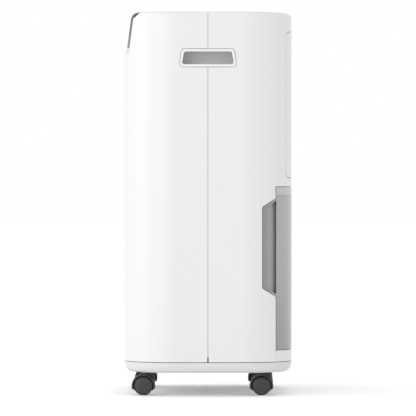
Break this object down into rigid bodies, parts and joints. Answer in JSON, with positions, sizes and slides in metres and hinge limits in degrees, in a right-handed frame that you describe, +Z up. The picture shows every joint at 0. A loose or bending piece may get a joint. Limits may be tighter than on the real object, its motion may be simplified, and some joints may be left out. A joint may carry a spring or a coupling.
{
  "type": "dehumidifier",
  "caption": "Upright compressor dehumidifier with a leaning control panel, side grips, rear air inlet, rear-loading smoky water tank and twin-wheel casters.",
  "frame": {"origin": "on the floor under the middle of the cabinet", "axes": "+X to the right of someone facing the front, -Y out of the front, +Z up"},
  "size_m": [0.385, 0.2758, 0.618],
  "materials": {
    "white_shell": "satin moulded ABS",
    "white_base": "satin moulded ABS",
    "handle_white": "satin moulded ABS",
    "fascia_dark": "gloss dark grey",
    "window_smoke": "gloss black",
    "key_dark": "satin dark grey",
    "grille_white": "satin moulded ABS",
    "inlet_white": "satin moulded ABS",
    "filter_plastic": "matte",
    "filter_net": "fine nylon mesh",
    "tank_smoke": "smoky grey",
    "tank_band": "light grey",
    "float_foam": "closed foam",
    "liner": "matte moulded plastic",
    "caster_black": "moulded nylon",
    "wheel_black": "moulded nylon",
    "steel": "zinc plated",
    "sheet_steel": "galvanised",
    "scroll_plastic": "matte",
    "blower_plastic": "matte",
    "motor_can": "satin",
    "copper": "bright copper",
    "fin_aluminium": "mill finish",
    "compressor_paint": "gloss black",
    "rubber": "moulded rubber",
    "board_green": "solder mask",
    "box_grey": "moulded plastic",
    "capacitor_can": "drawn can",
    "port_black": "moulded plastic",
    "plug_white": "soft plug"
  },
  "bodies": {
    "cabinet": {"front_shell": "white_shell", "rear_shell": "white_shell", "shell_tongue": "white_shell", "base_tray": "white_base", "base_screws": "steel", "handle_right": "handle_white", "handle_left": "handle_white", "control_fascia": "fascia_dark", "display_window": "window_smoke", "display_board": "board_green", "key_board": "board_green", "outlet_grille": "grille_white", "coil_shroud": "sheet_steel", "drip_tray": "liner", "evaporator_fins": "fin_aluminium", "evaporator_tubes": "copper", "condenser_fins": "fin_aluminium", "condenser_tubes": "copper", "fan_scroll": "scroll_plastic", "fan_motor": "motor_can", "compressor": "compressor_paint", "compressor_mounts": "rubber", "accumulator": "copper", "refrigerant_pipes": "copper", "electrical_box": "box_grey", "capacitor": "capacitor_can", "drain_port": "port_black", "cord_gland": "port_black", "tank_bay": "liner"},
    "blower": {"blower_wheel": "blower_plastic", "fan_shaft": "steel"},
    "tank": {"tank_bucket": "tank_smoke", "tank_lid": "tank_band"},
    "float": {"float_arm": "float_foam"},
    "inlet_panel": {"inlet_grille": "inlet_white"},
    "air_filter": {"filter_frame": "filter_plastic", "filter_mesh": "filter_net"},
    "drain_stopper": {"drain_plug": "plug_white"},
    "key_power": {"key_power": "key_dark"},
    "key_mode": {"key_mode": "key_dark"},
    "key_lower": {"key_lower": "key_dark"},
    "key_raise": {"key_raise": "key_dark"},
    "key_timer": {"key_timer": "key_dark"},
    "key_fan": {"key_fan": "key_dark"},
    "caster_front_right": {"caster_front_right_hood": "caster_black", "caster_front_right_pins": "steel"},
    "caster_front_right_wheel_right": {"caster_front_right_wheel_right": "wheel_black"},
    "caster_front_right_wheel_left": {"caster_front_right_wheel_left": "wheel_black"},
    "caster_front_left": {"caster_front_left_hood": "caster_black", "caster_front_left_pins": "steel"},
    "caster_front_left_wheel_right": {"caster_front_left_wheel_right": "wheel_black"},
    "caster_front_left_wheel_left": {"caster_front_left_wheel_left": "wheel_black"},
    "caster_rear_right": {"caster_rear_right_hood": "caster_black", "caster_rear_right_pins": "steel"},
    "caster_rear_right_wheel_right": {"caster_rear_right_wheel_right": "wheel_black"},
    "caster_rear_right_wheel_left": {"caster_rear_right_wheel_left": "wheel_black"},
    "caster_rear_left": {"caster_rear_left_hood": "caster_black", "caster_rear_left_pins": "steel"},
    "caster_rear_left_wheel_right": {"caster_rear_left_wheel_right": "wheel_black"},
    "caster_rear_left_wheel_left": {"caster_rear_left_wheel_left": "wheel_black"}
  },
  "joints": [
    {"name": "blower_spin", "type": "hinge", "parent": "cabinet", "child": "blower", "pos_m": [0, 0.014, 0.465], "axis": [0, 1, 0], "continuous": true},
    {"name": "tank_slide", "type": "slide", "parent": "cabinet", "child": "tank", "axis": [0, 1, 0], "range_m": [0, 0.16]},
    {"name": "float_pivot", "type": "hinge", "parent": "tank", "child": "float", "pos_m": [-0.07, 0.048, 0.296], "axis": [1, 0, 0], "range_deg": [0, 20]},
    {"name": "inlet_panel_pull", "type": "slide", "parent": "cabinet", "child": "inlet_panel", "axis": [0, 1, 0], "range_m": [0, 0.06]},
    {"name": "filter_unclip", "type": "slide", "parent": "inlet_panel", "child": "air_filter", "axis": [0, -1, 0], "range_m": [0, 0.012]},
    {"name": "drain_plug_pull", "type": "slide", "parent": "cabinet", "child": "drain_stopper", "axis": [-1, 0, 0], "range_m": [0, 0.03]},
    {"name": "key_power_press", "type": "slide", "parent": "cabinet", "child": "key_power", "axis": [0, 0, -1], "range_m": [0, 0.0008], "stiffness_N_per_m": 500, "springref_m": -0.0005},
    {"name": "key_mode_press", "type": "slide", "parent": "cabinet", "child": "key_mode", "axis": [0, 0, -1], "range_m": [0, 0.0008], "stiffness_N_per_m": 500, "springref_m": -0.0005},
    {"name": "key_lower_press", "type": "slide", "parent": "cabinet", "child": "key_lower", "axis": [0, 0, -1], "range_m": [0, 0.0008], "stiffness_N_per_m": 500, "springref_m": -0.0005},
    {"name": "key_raise_press", "type": "slide", "parent": "cabinet", "child": "key_raise", "axis": [0, 0, -1], "range_m": [0, 0.0008], "stiffness_N_per_m": 500, "springref_m": -0.0005},
    {"name": "key_timer_press", "type": "slide", "parent": "cabinet", "child": "key_timer", "axis": [0, 0, -1], "range_m": [0, 0.0008], "stiffness_N_per_m": 500, "springref_m": -0.0005},
    {"name": "key_fan_press", "type": "slide", "parent": "cabinet", "child": "key_fan", "axis": [0, 0, -1], "range_m": [0, 0.0008], "stiffness_N_per_m": 500, "springref_m": -0.0005},
    {"name": "caster_front_right_swivel", "type": "hinge", "parent": "cabinet", "child": "caster_front_right", "pos_m": [0.131, -0.0955, 0.045], "axis": [0, 0, 1], "continuous": true},
    {"name": "caster_front_right_roll_right", "type": "hinge", "parent": "caster_front_right", "child": "caster_front_right_wheel_right", "pos_m": [0.1397, -0.1045, 0.0152], "axis": [1, 0, 0], "continuous": true},
    {"name": "caster_front_right_roll_left", "type": "hinge", "parent": "caster_front_right", "child": "caster_front_right_wheel_left", "pos_m": [0.1223, -0.1045, 0.0152], "axis": [1, 0, 0], "continuous": true},
    {"name": "caster_front_left_swivel", "type": "hinge", "parent": "cabinet", "child": "caster_front_left", "pos_m": [-0.131, -0.0955, 0.045], "axis": [0, 0, 1], "continuous": true},
    {"name": "caster_front_left_roll_right", "type": "hinge", "parent": "caster_front_left", "child": "caster_front_left_wheel_right", "pos_m": [-0.1223, -0.1045, 0.0152], "axis": [1, 0, 0], "continuous": true},
    {"name": "caster_front_left_roll_left", "type": "hinge", "parent": "caster_front_left", "child": "caster_front_left_wheel_left", "pos_m": [-0.1397, -0.1045, 0.0152], "axis": [1, 0, 0], "continuous": true},
    {"name": "caster_rear_right_swivel", "type": "hinge", "parent": "cabinet", "child": "caster_rear_right", "pos_m": [0.131, 0.0955, 0.045], "axis": [0, 0, 1], "continuous": true},
    {"name": "caster_rear_right_roll_right", "type": "hinge", "parent": "caster_rear_right", "child": "caster_rear_right_wheel_right", "pos_m": [0.1397, 0.0865, 0.0152], "axis": [1, 0, 0], "continuous": true},
    {"name": "caster_rear_right_roll_left", "type": "hinge", "parent": "caster_rear_right", "child": "caster_rear_right_wheel_left", "pos_m": [0.1223, 0.0865, 0.0152], "axis": [1, 0, 0], "continuous": true},
    {"name": "caster_rear_left_swivel", "type": "hinge", "parent": "cabinet", "child": "caster_rear_left", "pos_m": [-0.131, 0.0955, 0.045], "axis": [0, 0, 1], "continuous": true},
    {"name": "caster_rear_left_roll_right", "type": "hinge", "parent": "caster_rear_left", "child": "caster_rear_left_wheel_right", "pos_m": [-0.1223, 0.0865, 0.0152], "axis": [1, 0, 0], "continuous": true},
    {"name": "caster_rear_left_roll_left", "type": "hinge", "parent": "caster_rear_left", "child": "caster_rear_left_wheel_left", "pos_m": [-0.1397, 0.0865, 0.0152], "axis": [1, 0, 0], "continuous": true}
  ]
}
